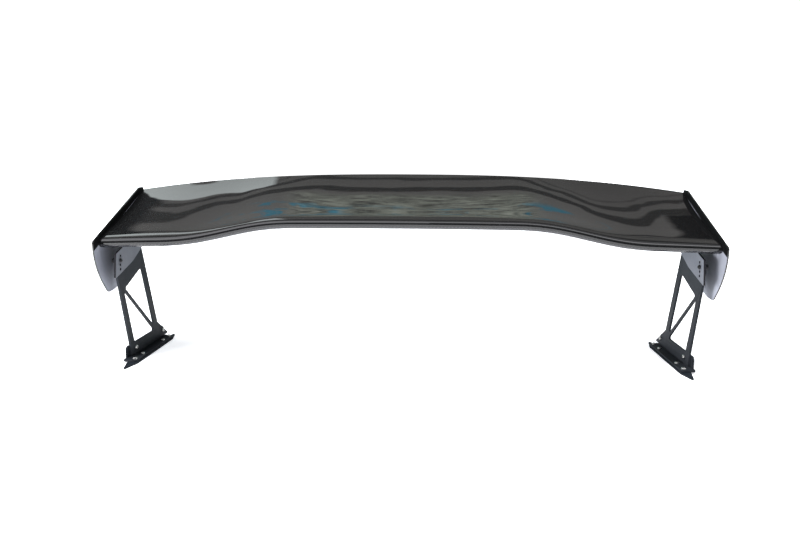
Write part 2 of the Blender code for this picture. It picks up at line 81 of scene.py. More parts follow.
class Graph:
    """A node tree under construction: add nodes and wire them by socket name or _number."""

    def __init__(self, tree):
        self.tree = tree

    def node(self, kind, **inputs):
        made = self.tree.nodes.new(kind)
        for key, value in inputs.items():
            self.set(made, key, value)
        return made

    def set(self, node, key, value):
        socket = node.inputs[int(key[1:])] if key[0] == "_" else node.inputs[key.replace("_", " ")]
        if isinstance(value, bpy.types.NodeSocket):
            self.tree.links.new(value, socket)
        elif isinstance(value, bpy.types.Node):
            self.tree.links.new(value.outputs[0], socket)
        else:
            socket.default_value = value

    def math(self, operation, a, b=0.0, clamp=False):
        made = self.tree.nodes.new("ShaderNodeMath")
        made.operation = operation
        made.use_clamp = clamp
        self.set(made, "_0", a)
        self.set(made, "_1", b)
        return made.outputs[0]

    def mix_colour(self, factor, a, b):
        made = self.tree.nodes.new("ShaderNodeMix")
        made.data_type = "RGBA"
        self.set(made, "_0", factor)
        self.set(made, "_6", a)
        self.set(made, "_7", b)
        return made.outputs[2]

    def spread(self, value, low, high, to_low=0.0, to_high=1.0, smooth=False):
        made = self.node("ShaderNodeMapRange")
        made.interpolation_type = "SMOOTHSTEP" if smooth else "LINEAR"
        for index, part in enumerate((value, low, high, to_low, to_high)):
            self.set(made, f"_{index}", part)
        return made.outputs[0]

    def noise(self, vector, scale, detail=2.0, roughness=0.5):
        made = self.node("ShaderNodeTexNoise", Vector=vector, Scale=scale, Detail=detail, Roughness=roughness)
        return made.outputs[0]

    def stretched(self, vector, scale):
        made = self.node("ShaderNodeMapping", Vector=vector)
        made.inputs["Scale"].default_value = scale
        return made.outputs[0]

    def bump(self, height, distance, strength=1.0, normal=None):
        made = self.node("ShaderNodeBump", Strength=strength, Distance=distance, Height=height)
        if normal is not None:
            self.set(made, "Normal", normal)
        return made.outputs[0]

    def place(self, kind="Object"):
        return self.node("ShaderNodeTexCoord").outputs[kind]

    def split(self, vector):
        return self.node("ShaderNodeSeparateXYZ", Vector=vector).outputs


class Shader(Graph):
    """A material under construction."""

    def __init__(self, name):
        self.material = bpy.data.materials.new(name)
        self.material.use_nodes = True
        super().__init__(self.material.node_tree)
        self.surface = self.tree.nodes["Principled BSDF"]

    def finish(self, **inputs):
        for key, value in inputs.items():
            self.set(self.surface, key, value)
        return self.material


# ---------------------------------------------------------------- materials

TOW = 0.0020
WEAVE_OFFSET = 2000 * TOW
# The two tow tones below are one black fibre; the lighter tone on the tow on top is a painted sheen.
CARBON_DARK = (0.0032, 0.0033, 0.0035, 1.0)
CARBON_LIGHT = (0.0052, 0.0054, 0.0057, 1.0)
# The underside's carbon tones are about three times lighter than the top's: a painted reflection of the pale
# floor beneath.
UNDER_PAINTED_REFLECTION_DARK, UNDER_PAINTED_REFLECTION_LIGHT = (0.012, 0.0125, 0.0145, 1.0), (0.017, 0.0175, 0.0205, 1.0)
# The pale blue grey on the end plates' inner faces below the airfoil is a painted reflection of the pale
# floor, painted brighter towards the bottom.
PLATE_PAINTED_REFLECTION = (0.235, 0.245, 0.285, 1.0)
PAINTED_REFLECTION_GAIN, PAINTED_REFLECTION_GAIN_FROM, PAINTED_REFLECTION_GAIN_FULL = 1.35, 0.24, 0.19
TURNED_INWARD, FLAT_INWARD = 0.80, 0.975
METAL_DARK, METAL_LIGHT = (0.0040, 0.0054, 0.0076, 1.0), (0.0078, 0.0096, 0.0126, 1.0)
METAL_WORN = (0.035, 0.038, 0.044, 1.0)
# The fin's pale blue grey is a painted reflection of the floor; its edge tone is its own black.
FIN_REFLECTION_DARK, FIN_REFLECTION_LIGHT = (0.082, 0.086, 0.106, 1.0), (0.104, 0.109, 0.130, 1.0)
FIN_EDGE = (0.010, 0.010, 0.012, 1.0)
ZINC_LIGHT, ZINC_DARK = (0.70, 0.70, 0.68, 1.0), (0.50, 0.50, 0.49, 1.0)
OXIDE_DARK, OXIDE_LIGHT = (0.018, 0.018, 0.020, 1.0), (0.045, 0.045, 0.048, 1.0)
RUBBER_DARK, RUBBER_DUSTY = (0.0055, 0.0080, 0.0115, 1.0), (0.022, 0.026, 0.032, 1.0)
BRONZE_LIGHT, BRONZE_DARK = (0.50, 0.33, 0.13, 1.0), (0.36, 0.23, 0.10, 1.0)
LAMINATE_DARK, LAMINATE_LIGHT = (0.012, 0.012, 0.013, 1.0), (0.035, 0.035, 0.037, 1.0)
PAPER_DARK, PAPER_LIGHT = (0.86, 0.87, 0.885, 1.0), (0.90, 0.905, 0.915, 1.0)
PAPER_GLOW, PAPER_GLOW_STRENGTH = (0.97, 0.98, 1.0, 1.0), 0.55


def weave(shader, u, v):
    """A 2x2 twill from two distances in metres: (which tow is on top, its height)."""
    across_u = shader.math("DIVIDE", shader.math("ADD", u, WEAVE_OFFSET), TOW)
    across_v = shader.math("DIVIDE", shader.math("ADD", v, WEAVE_OFFSET), TOW)
    cell = shader.math("ADD", shader.math("FLOOR", across_u), shader.math("FLOOR", across_v))
    step = shader.math("MODULO", cell, 4.0)
    on_top = shader.math("LESS_THAN", step, 1.5)
    round_u = shader.math("SINE", shader.math("MULTIPLY", shader.math("FRACT", across_u), math.pi))
    round_v = shader.math("SINE", shader.math("MULTIPLY", shader.math("FRACT", across_v), math.pi))
    under = shader.math("SUBTRACT", 1.0, on_top)
    warp = shader.math("MULTIPLY", round_u, on_top)
    weft = shader.math("MULTIPLY", round_v, under)
    return on_top, shader.math("ADD", warp, weft)


def carbon(name, axes=None, wave=0.00030, dark=CARBON_DARK, light=CARBON_LIGHT, painted_inner_reflection=None):
    """Twill carbon under a thick clear gloss coat, laid along the UVs or along two of the object's axes."""
    shader = Shader(name)
    space = shader.place()
    if axes:
        parts = shader.split(space)
        u, v = parts[axes[0]], parts[axes[1]]
    else:
        parts = shader.split(shader.place("UV"))
        u, v = parts[0], parts[1]
    on_top, height = weave(shader, u, v)
    fibres = shader.noise(space, 2600.0, 2.0)
    cloth = shader.noise(space, 9.0, 3.0)
    # The tow on top gets the lighter tone as a painted sheen; the fibre and cloth noise adds random tone.
    lit = shader.math("MULTIPLY", shader.math("ADD", on_top, fibres), 0.5)
    lit = shader.math("MULTIPLY", lit, shader.spread(cloth, 0.3, 0.7, 0.75, 1.1))
    colour = shader.mix_colour(lit, dark, light)
    coat = 1.0
    if painted_inner_reflection:
        # End plates: the flat inner face below the airfoil gets a painted reflection of the pale floor,
        # brighter lower down; the inward faces lose their coat.
        inward, pale = inner_face(shader, parts)
        cloud = shader.spread(shader.noise(space, 14.0, 3.0), 0.3, 0.7, 0.88, 1.0)
        painted_reflection_gain = shader.spread(parts[2], PAINTED_REFLECTION_GAIN_FROM, PAINTED_REFLECTION_GAIN_FULL, 1.0, PAINTED_REFLECTION_GAIN, smooth=True)
        painted_reflection = scaled(shader, painted_inner_reflection[:3], painted_reflection_gain)
        colour = shader.mix_colour(shader.math("MULTIPLY", pale, cloud), colour, painted_reflection)
        coat = shader.math("SUBTRACT", 1.0, inward)
    ripple = shader.noise(shader.stretched(space, (1.0, 2.2, 1.0)), 6.0, 2.0, 0.45)
    peel = shader.noise(space, 160.0, 1.0)
    gloss = shader.math("ADD", ripple, shader.math("MULTIPLY", peel, 0.010))
    return shader.finish(
        Base_Color=colour,
        Roughness=shader.spread(height, 0.0, 1.0, 0.50, 0.34),
        Specular_IOR_Level=0.03,
        Normal=shader.bump(height, 0.00008, 0.3),
        Coat_Weight=coat,
        Coat_Roughness=0.02,
        Coat_IOR=1.55,
        Coat_Normal=shader.bump(gloss, wave, 1.0),
    )


def inner_face(shader, parts):
    """For an end plate: (1 where it faces the other one, 1 on the flat of that face below the airfoil, where
    the painted reflection goes).
    """
    facing = shader.split(shader.node("ShaderNodeNewGeometry").outputs["Normal"])[0]
    turned = shader.math("DIVIDE", shader.math("MULTIPLY", facing, parts[0]), -SPAN / 2)
    inward = shader.math("GREATER_THAN", turned, TURNED_INWARD)
    flat = shader.math("GREATER_THAN", turned, FLAT_INWARD)
    nose, tail = chord_ends(SPAN / 2)
    slope = (tail.y - nose.y) / (tail.x - nose.x)
    level = nose.y - slope * from_front(nose.x)
    above = shader.math("SUBTRACT", parts[2], shader.math("MULTIPLY", parts[1], slope))
    return inward, shader.math("MULTIPLY", flat, shader.math("LESS_THAN", above, level))


def anodised(name):
    """Black plate: a fine sandblasted grain, faint handling marks, and paler worn edges."""
    shader = Shader(name)
    space = shader.place()
    fine = shader.noise(space, 1500.0, 3.0, 0.6)
    marks = shader.noise(shader.stretched(space, (1.0, 1.0, 0.35)), 38.0, 4.0, 0.6)
    edges = shader.spread(shader.node("ShaderNodeNewGeometry").outputs["Pointiness"], 0.53, 0.60, 0.0, 0.5)
    base = shader.mix_colour(shader.spread(marks, 0.35, 0.7), METAL_DARK, METAL_LIGHT)
    return shader.finish(
        Base_Color=shader.mix_colour(edges, base, METAL_WORN),
        Roughness=shader.spread(marks, 0.3, 0.7, 0.46, 0.58),
        Specular_IOR_Level=0.04,
        Normal=shader.bump(fine, 0.00006),
    )


def polished_fin(name):
    """The fin: its wide faces are painted a pale blue grey as a painted reflection of the floor, its cut
    edges stay black.
    """
    shader = Shader(name)
    space = shader.place()
    facing = shader.split(shader.node("ShaderNodeNewGeometry").outputs["Normal"])[0]
    wide = shader.math("GREATER_THAN", shader.math("ABSOLUTE", facing), 0.9)
    brushed = shader.noise(shader.stretched(space, (1.0, 0.15, 1.0)), 900.0, 2.0)
    cloud = shader.noise(space, 22.0, 3.0)
    # Painted reflection: the wide faces get the pale blue grey, the cut edges keep the black.
    face = shader.mix_colour(shader.spread(cloud, 0.3, 0.7), FIN_REFLECTION_DARK, FIN_REFLECTION_LIGHT)
    return shader.finish(
        Base_Color=shader.mix_colour(wide, FIN_EDGE, face),
        Roughness=shader.spread(brushed, 0.3, 0.7, 0.30, 0.40),
        Specular_IOR_Level=0.2,
        Normal=shader.bump(brushed, 0.00001, 0.5),
    )


def zinc(name):
    """Bright plated steel with faint turning lines."""
    shader = Shader(name)
    space = shader.place()
    lines = shader.noise(shader.stretched(space, (1.0, 1.0, 8.0)), 900.0, 2.0)
    blotch = shader.noise(space, 260.0, 3.0)
    return shader.finish(
        Base_Color=shader.mix_colour(blotch, ZINC_LIGHT, ZINC_DARK),
        Roughness=shader.spread(lines, 0.3, 0.7, 0.16, 0.30),
        Metallic=1.0,
        Normal=shader.bump(lines, 0.00002, 0.6),
    )


def black_oxide(name):
    """Blackened steel, slightly blotched."""
    shader = Shader(name)
    space = shader.place()
    blotch = shader.noise(space, 300.0, 3.0)
    return shader.finish(
        Base_Color=shader.mix_colour(blotch, OXIDE_DARK, OXIDE_LIGHT),
        Roughness=shader.spread(blotch, 0.3, 0.7, 0.28, 0.42),
        Metallic=0.8,
        Normal=shader.bump(blotch, 0.00002, 0.5),
    )


def rubber(name):
    """Matt black rubber with a fine grain and a little dust."""
    shader = Shader(name)
    space = shader.place()
    grain = shader.noise(space, 1400.0, 2.0)
    dust = shader.noise(space, 45.0, 4.0, 0.6)
    return shader.finish(
        Base_Color=shader.mix_colour(shader.spread(dust, 0.4, 0.8, 0.0, 0.6), RUBBER_DARK, RUBBER_DUSTY),
        Roughness=shader.spread(dust, 0.3, 0.7, 0.62, 0.80),
        Specular_IOR_Level=0.15,
        Normal=shader.bump(grain, 0.00008, 0.8),
    )


def bronze(name):
    """Turned bronze for the bushes."""
    shader = Shader(name)
    rings = shader.noise(shader.stretched(shader.place(), (12.0, 1.0, 1.0)), 800.0, 2.0)
    return shader.finish(
        Base_Color=shader.mix_colour(rings, BRONZE_LIGHT, BRONZE_DARK),
        Roughness=shader.spread(rings, 0.3, 0.7, 0.30, 0.45),
        Metallic=1.0,
        Normal=shader.bump(rings, 0.00002, 0.5),
    )


def laminate(name):
    """Bare carbon laminate for the hidden spars and ribs."""
    shader = Shader(name)
    parts = shader.split(shader.place())
    on_top, height = weave(shader, parts[0], parts[2])
    return shader.finish(
        Base_Color=shader.mix_colour(on_top, LAMINATE_DARK, LAMINATE_LIGHT),
        Roughness=0.55,
        Normal=shader.bump(height, 0.0002, 0.8),
    )


def floor_paper(name):
    """Pale studio paper, lit a little from within so that it stays white."""
    shader = Shader(name)
    space = shader.place()
    cloud = shader.noise(space, 1.3, 3.0)
    fibre = shader.noise(space, 420.0, 2.0)
    return shader.finish(
        Base_Color=shader.mix_colour(cloud, PAPER_DARK, PAPER_LIGHT),
        Roughness=0.72,
        Emission_Color=PAPER_GLOW,
        Emission_Strength=PAPER_GLOW_STRENGTH,
        Normal=shader.bump(fibre, 0.00005, 0.4),
    )


# ---------------------------------------------------------------- shape helpers

EASE_MIDDLE, LEAST_LEAN = 0.3, 0.5
SHARP_ANGLE = 30.0


def from_front(y):
    """Side-view distances are measured back from the front of the end plates."""
    return y + FRONT


def finish_piece(name, mesh, finish, body, slot, *nodes, smooth=SHARP_ANGLE):
    """Turns a closed bmesh into a piece that rides on a body and stands for CAD nodes."""
    bmesh.ops.recalc_face_normals(mesh, faces=mesh.faces)
    data = bpy.data.meshes.new(name)
    mesh.to_mesh(data)
    mesh.free()
    made = bpy.data.objects.new(name, data)
    bpy.context.scene.collection.objects.link(made)
    data.materials.append(finish)
    data.shade_smooth()
    data.set_sharp_from_angle(angle=math.radians(smooth))
    if body:
        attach(made, body)
    if nodes:
        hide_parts(*nodes)
    return made


def loft(rings, closed=False):
    """A bmesh through rings of equal counts: capped at both ends, or closed on itself."""
    mesh = bmesh.new()
    rows = [[mesh.verts.new(point) for point in ring] for ring in rings]
    pairs = list(zip(rows, rows[1:]))
    if closed:
        pairs.append((rows[-1], rows[0]))
    for low, high in pairs:
        for i in range(len(low)):
            j = (i + 1) % len(low)
            mesh.faces.new((low[i], low[j], high[j], high[i]))
    if not closed:
        mesh.faces.new(rows[0])
        mesh.faces.new(list(reversed(rows[-1])))
    return mesh


def rounded(corners, steps=10):
    """A closed outline from (a, b, radius) corners, each radius turned into an arc."""
    outline = []
    for i, (a, b, radius) in enumerate(corners):
        here = Vector((a, b))
        before = (Vector(corners[i - 1][:2]) - here).normalized()
        after = (Vector(corners[(i + 1) % len(corners)][:2]) - here).normalized()
        if radius <= 0.0:
            outline.append(here)
            continue
        half = before.angle(after) / 2
        centre = here + (before + after).normalized() * (radius / math.sin(half))
        start = here + before * (radius / math.tan(half)) - centre
        turn = before.angle_signed(after)
        sweep = math.copysign(math.pi - abs(turn), turn)
        for k in range(steps + 1):
            swing = sweep * k / steps
            c, s = math.cos(swing), math.sin(swing)
            outline.append(centre + Vector((start.x * c - start.y * s, start.x * s + start.y * c)))
    return outline


def area_sign(outline):
    """1 for an anticlockwise outline, -1 for a clockwise one."""
    total = sum(a.x * b.y - b.x * a.y for a, b in zip(outline, outline[1:] + outline[:1]))
    return math.copysign(1.0, total)


def offset(outline, distance):
    """The outline moved outward by a distance (inward if negative), corner by corner."""
    turn = area_sign(outline)
    moved = []
    for i, here in enumerate(outline):
        before = (here - outline[i - 1]).normalized()
        after = (outline[(i + 1) % len(outline)] - here).normalized()
        middle = (before + after).normalized()
        lean = max(LEAST_LEAN, middle.dot(after))
        moved.append(here + Vector((middle.y, -middle.x)) * (turn * distance / lean))
    return moved


def side_rings(outline, x_from, x_to, bevel, rim=1.0):
    """Rings of a plate across the span, its edges eased by a small round; rim widens the first one."""
    toward = math.copysign(1.0, x_to - x_from)
    rings = []
    for depth, inset in ((0.0, rim), (EASE_MIDDLE, EASE_MIDDLE), (1.0, 0.0)):
        rings.append((x_from + toward * depth * bevel, inset))
    for depth, inset in ((1.0, 0.0), (EASE_MIDDLE, EASE_MIDDLE), (0.0, 1.0)):
        rings.append((x_to - toward * depth * bevel, inset))
    return [[Vector((x, from_front(p.x), p.y)) for p in offset(outline, -inset * bevel)]
            for x, inset in rings]


def circle(y, z, radius, steps=32):
    """A round outline in the side view."""
    angles = [2 * math.pi * k / steps for k in range(steps)]
    return [Vector((y + radius * math.cos(a), z + radius * math.sin(a))) for a in angles]


def boolean(target, meshes, operation):
    """Applies one Boolean after another, and leaves no cutter behind."""
    for mesh in meshes:
        bmesh.ops.recalc_face_normals(mesh, faces=mesh.faces)
        data = bpy.data.meshes.new("cutter")
        mesh.to_mesh(data)
        mesh.free()
        cutter = bpy.data.objects.new("cutter", data)
        bpy.context.scene.collection.objects.link(cutter)
        step = target.modifiers.new("cut", "BOOLEAN")
        step.operation = operation
        step.object = cutter
        graph = bpy.context.evaluated_depsgraph_get()
        result = bpy.data.meshes.new_from_object(target.evaluated_get(graph))
        target.modifiers.remove(step)
        old = target.data
        target.data = result
        bpy.data.meshes.remove(old)
        bpy.data.objects.remove(cutter)
        bpy.data.meshes.remove(data)
    target.data.shade_smooth()
    target.data.set_sharp_from_angle(angle=math.radians(SHARP_ANGLE))


# ---------------------------------------------------------------- airfoil

NOSE_Y, TAIL_Y = 0.024, 0.268
NOSE_Z_CENTRE, TAIL_Z_CENTRE = 0.3370, 0.4435
NOSE_STEP, NOSE_STEP_FROM, NOSE_STEP_TO, NOSE_CROWN = 0.0395, 0.236, 0.574, 0.0095
TAIL_ARCH, TAIL_ARCH_POWER = 0.043, 2.5
THICKNESS, THICKEST_AT, NOSE_ROUND = 0.120, 0.300, 0.2855
TAIL_THICKNESS, TAIL_SLOPE, CAMBER = 0.0115, 0.140, 0.055
SKIN, SEAM = 0.0018, 0.00016
OUTER_STEPS, NOSE_CROWDING, INNER_STEPS, INNER_REACH, SPAN_STEPS = 56, 2.2, 16, 0.985, 180
SKIN_SHARP_ANGLE = 40.0
WING_END = edge("upper_skin", 1, 0)


def smooth_step(value, low, high):
    """0 below low, 1 above high, with no jump in slope or curvature between them."""
    t = min(1.0, max(0.0, (value - low) / (high - low)))
    return t ** 3 * (10 - 15 * t + 6 * t * t)


def chord_ends(x):
    """Nose and tail of the chord line at this place across the span, as (y, z)."""
    share = abs(x) / (SPAN / 2)
    step = NOSE_STEP * smooth_step(abs(x), NOSE_STEP_FROM, NOSE_STEP_TO)
    nose_z = NOSE_Z_CENTRE - step - NOSE_CROWN * share ** 2
    tail_z = TAIL_Z_CENTRE - TAIL_ARCH * share ** TAIL_ARCH_POWER
    return Vector((NOSE_Y, nose_z)), Vector((TAIL_Y, tail_z))


def half_thickness(s):
    """Half the section's thickness at s along the chord, both as shares of the chord."""
    root = math.sqrt(THICKEST_AT)
    quad = (NOSE_ROUND * root / 2 - THICKNESS / 2) / THICKEST_AT ** 2
    linear = -NOSE_ROUND / (2 * root) - 2 * quad * THICKEST_AT
    if s < THICKEST_AT:
        return NOSE_ROUND * math.sqrt(max(0.0, s)) + linear * s + quad * s * s
    span = 1 - THICKEST_AT
    t = (s - THICKEST_AT) / span
    start = (2 * t ** 3 - 3 * t ** 2 + 1) * THICKNESS / 2
    end = (3 * t ** 2 - 2 * t ** 3) * TAIL_THICKNESS / 2
    return start + end + (t ** 3 - t ** 2) * -TAIL_SLOPE * span


def section(x, s, height):
    """A point on the section at x: s along the chord, height in metres above the middle line."""
    nose, tail = chord_ends(x)
    along = tail - nose
    normal = Vector((-along.y, along.x))
    return nose + along * s + normal * (-4 * CAMBER * s * (1 - s)) + normal.normalized() * height


def skin(name, side, finish, slot, node):
    """One fine airfoil skin: its outer face, a squared tail and a plain inner face, with UVs in metres."""
    outer = [(k / OUTER_STEPS) ** NOSE_CROWDING for k in range(OUTER_STEPS + 1)]
    inner = [1.0 - k / INNER_STEPS * INNER_REACH for k in range(INNER_STEPS + 1)]
    rings, lengths = [], []
    for k in range(SPAN_STEPS + 1):
        x = WING_END * (2 * k / SPAN_STEPS - 1)
        nose, tail = chord_ends(x)
        chord = (tail - nose).length
        points = [section(x, 0.0, side * SEAM)]
        points += [section(x, s, side * max(SEAM, half_thickness(s) * chord)) for s in outer[1:]]
        within = [(s, half_thickness(s - SKIN / chord) * chord - SKIN) for s in inner]
        points += [section(x, s, side * max(SEAM, height)) for s, height in within]
        run = [0.0]
        for a, b in zip(points, points[1:]):
            run.append(run[-1] + (b - a).length)
        lengths.append(run)
        rings.append([Vector((x, from_front(p.x), p.y)) for p in points])
    mesh = loft(rings)
    layer = mesh.loops.layers.uv.new("UVMap")
    mesh.verts.ensure_lookup_table()
    count = len(rings[0])
    for face in mesh.faces:
        for loop in face.loops:
            row, column = divmod(loop.vert.index, count)
            loop[layer].uv = (loop.vert.co.x, lengths[row][column])
    return finish_piece(name, mesh, finish, "wing", slot, node, smooth=SKIN_SHARP_ANGLE)


def airfoil():
    skin("airfoil_top", 1, FINISHES["carbon_top"], "carbon_top", "upper_skin")
    skin("airfoil_under", -1, FINISHES["carbon_under"], "carbon_under", "lower_skin")


# ---------------------------------------------------------------- end plates

END_PLATE_BOW, END_PLATE_BOW_STEPS = 0.0110, 20
END_PLATE_BEVEL, END_PLATE_RIM = 0.0016, 1.9
SCREW_CLEARANCE = 0.0004
COUNTERSINK = ((-0.0005, 1.08), (0.0027, 0.62), (0.0100, 0.62))


def end_plate_outline():
    """The end plate from the side: a bowed front edge, then its corners with their radii."""
    low, high = Vector((0.0430, 0.1850)), Vector((0.00025, 0.2900))
    front = []
    for k in range(END_PLATE_BOW_STEPS + 1):
        t = k / END_PLATE_BOW_STEPS
        point = low.lerp(high, t)
        front.append((point.x - END_PLATE_BOW * 4 * t * (1 - t), point.y, 0.0))
    corners = [(-0.0011, 0.2977, 0.009), (0.2480, 0.4085, 0.012), (0.2740, 0.4090, 0.005)]
    corners += [(0.2700, 0.3150, 0.020), (0.1100, 0.1795, 0.030)]
    corners += [(0.0800, 0.1725, 0.030), (0.0545, 0.1705, 0.014)]
    return rounded(corners + front)


def end_plates():
    """Gloss end plates with eased edges, countersunk on the outside for their screws."""
    for side, sign in SIDES.items():
        node = f"end_plate_{side}"
        low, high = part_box(node)
        inner, outer = (low.x, high.x) if sign > 0 else (high.x, low.x)
        mesh = loft(side_rings(end_plate_outline(), inner, outer, END_PLATE_BEVEL, END_PLATE_RIM))
        plate = finish_piece(f"gloss_{node}", mesh, FINISHES["carbon_plate"], "wing", "carbon_plate", node)
        holes = []
        for number in (1, 2):
            low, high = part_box(f"end_plate_screw_{number}_{side}")
            middle = (low + high) / 2
            radius = (high.y - low.y) / 2 + SCREW_CLEARANCE
            rings = []
            for depth, share in COUNTERSINK:
                outline = circle(middle.y, middle.z, radius * share)
                rings.append([Vector((outer - sign * depth, p.x, p.y)) for p in outline])
            holes.append(loft(rings))
        boolean(plate, holes, "DIFFERENCE")


# ---------------------------------------------------------------- fasteners

SOCKET_SHARE, SOCKET_DEPTH_SHARE = 0.46, 0.55
DOME = ((0.0, 0.62), (0.16, 0.80), (0.42, 0.94), (0.75, 1.0), (1.0, 1.0))
CHAMFER, NUT_FACE_SHARE = 0.0005, 0.97
M6, M8 = {"shank": 0.0030, "height": 0.0036}, {"shank": 0.0040, "height": 0.0037}
BOLTS = {"angle_bolt": ("wing", M6), "pivot_bolt": ("stands", M8),
         "stand_bolt_1": ("stands", M6), "stand_bolt_2": ("stands", M6)}
NUTS = {"angle_nut": ("wing", M6), "pivot_nut": ("stands", M8),
        "stand_nut_1": ("stands", M6), "stand_nut_2": ("stands", M6)}


def turned(start, along, profile, closed=False, steps=48):
    """A piece round an axis, from (distance, radius, hexagonal) rows; a hexagon's radius is to its flats."""
    side = along.orthogonal().normalized()
    up = along.cross(side)
    rings = []
    for distance, radius, hexagonal in profile:
        ring = []
        for k in range(steps):
            turn = 2 * math.pi * k / steps
            past_flat = (turn + math.pi / 6) % (math.pi / 3) - math.pi / 6
            reach = radius / math.cos(past_flat) if hexagonal else radius
            outward = side * math.cos(turn) + up * math.sin(turn)
            ring.append(start + along * distance + outward * reach)
        rings.append(ring)
    return loft(rings, closed)


def bolt(node, slot, body, along, size):
    """A button head with a hexagon socket, a plain shank and a chamfered end, the size of its CAD node."""
    low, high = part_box(node)
    middle = (low + high) / 2
    length = abs((high - low).dot(along))
    wide = (high - low).y / 2
    start = middle - along * (length / 2)
    socket, shank, head_height = wide * SOCKET_SHARE, size["shank"], size["height"]
    profile = [(head_height * SOCKET_DEPTH_SHARE, socket, True), (0.0, socket, True)]
    profile += [(head_height * depth, wide * share, False) for depth, share in DOME]
    profile += [(head_height, shank, False)]
    profile += [(length - CHAMFER, shank, False), (length, shank - CHAMFER, False)]
    finish_piece(f"fine_{node}", turned(start, along, profile), FINISHES[slot], body, slot, node)


def nut(node, slot, body, size):
    """A hexagon nut across the span, its corners chamfered and its bore clear."""
    low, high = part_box(node)
    middle = (low + high) / 2
    deep = high.x - low.x
    flats = min(high.y - low.y, high.z - low.z) / 2
    start = middle - ACROSS * (deep / 2)
    bore, face = size["shank"], flats * NUT_FACE_SHARE
    profile = [(0.0, bore, False), (0.0, face, False), (CHAMFER, flats, True)]
    profile += [(deep - CHAMFER, flats, True), (deep, face, False), (deep, bore, False)]
    mesh = turned(start, ACROSS, profile, closed=True)
    finish_piece(f"fine_{node}", mesh, FINISHES[slot], body, slot, node)


def fasteners():
    """The bolts across the span, with their heads to the middle, the foot screws and the nuts."""
    slots = {part["node"]: part["material_slot"] for part in frame["record"]["subparts"]}
    for side, sign in SIDES.items():
        for stem, (body, size) in BOLTS.items():
            node = f"{stem}_{side}"
            bolt(node, slots[node], body, ACROSS * sign, size)
        for number in (1, 2, 3, 4):
            node = f"foot_screw_{number}_{side}"
            bolt(node, slots[node], "stands", DOWN, M6)
        for stem, (body, size) in NUTS.items():
            node = f"{stem}_{side}"
            nut(node, slots[node], body, size)


# ---------------------------------------------------------------- camera, floor and light

CAMERA_LENS, CAMERA_SENSOR = 29.07, 36.0
CAMERA_X, CAMERA_BEFORE_FRONT, CAMERA_HEIGHT = 0.0612, 1.4011, 0.4870
CAMERA_TURNED_LEFT, CAMERA_TIPPED_DOWN, CAMERA_ROLL = 2.775, 9.574, 0.208
FLOOR_HALF, FLOOR_SQUARES = 14.0, 24


def camera():
    """The photograph's view: low, in front, a little right of the middle, turned slightly left."""
    data = bpy.data.cameras.new("camera")
    data.sensor_width = CAMERA_SENSOR
    data.lens = CAMERA_LENS
    made = bpy.data.objects.new("camera", data)
    turn = Matrix.Rotation(math.radians(CAMERA_TURNED_LEFT), 4, "Z")
    turn = turn @ Matrix.Rotation(math.radians(90.0 - CAMERA_TIPPED_DOWN), 4, "X")
    turn = turn @ Matrix.Rotation(math.radians(CAMERA_ROLL), 4, "Z")
    place = (CAMERA_X, FRONT - CAMERA_BEFORE_FRONT, CAMERA_HEIGHT)
    made.matrix_world = Matrix.Translation(place) @ turn
    bpy.context.scene.collection.objects.link(made)
    bpy.context.scene.camera = made


def ground():
    """The plain pale floor under the feet."""
    mesh = bmesh.new()
    bmesh.ops.create_grid(mesh, x_segments=FLOOR_SQUARES, y_segments=FLOOR_SQUARES, size=FLOOR_HALF)
    floor = finish_piece("studio_floor", mesh, floor_paper("floor_paper"), None, None)


SKY, SKY_LEFT = (0.60, 0.62, 0.63, 1.0), (1.9, 1.92, 1.98, 1.0)
SKY_FRONT, SKY_STRIP, SKY_SEEN = (0.10, 0.10, 0.11, 1.0), (3.2, 3.2, 3.3, 1.0), (1.2, 1.2, 1.2, 1.0)
LEFT_BEYOND, FRONT_BEYOND, FRONT_BELOW = (-50.0, -75.0), (95.0, 125.0), (64.0, 40.0)
STRIP_NEAR, STRIP_FAR = (1.0, -4.0), (-20.0, -15.0)
SUN_POWER, SUN_ANGLE, SUN_TOWARD = 4.0, 16.0, (0.10, 0.24, -1.0)
FILL_AT, FILL_TOWARD = (-2.3, FRONT - 1.5, 0.45), (0.69, FRONT + 0.1, 0.25)
FILL_SIZE, FILL_POWER = (1.2, 0.7), 115.0


def softbox(name, location, target, size, power):
    """A flat lamp at a place, aimed at another."""
    data = bpy.data.lights.new(name, "AREA")
    data.shape = "RECTANGLE"
    data.size, data.size_y = size
    data.energy = power
    made = bpy.data.objects.new(name, data)
    made.location = location
    made.rotation_euler = (Vector(target) - Vector(location)).to_track_quat("-Z", "Y").to_euler()
    bpy.context.scene.collection.objects.link(made)
    return made


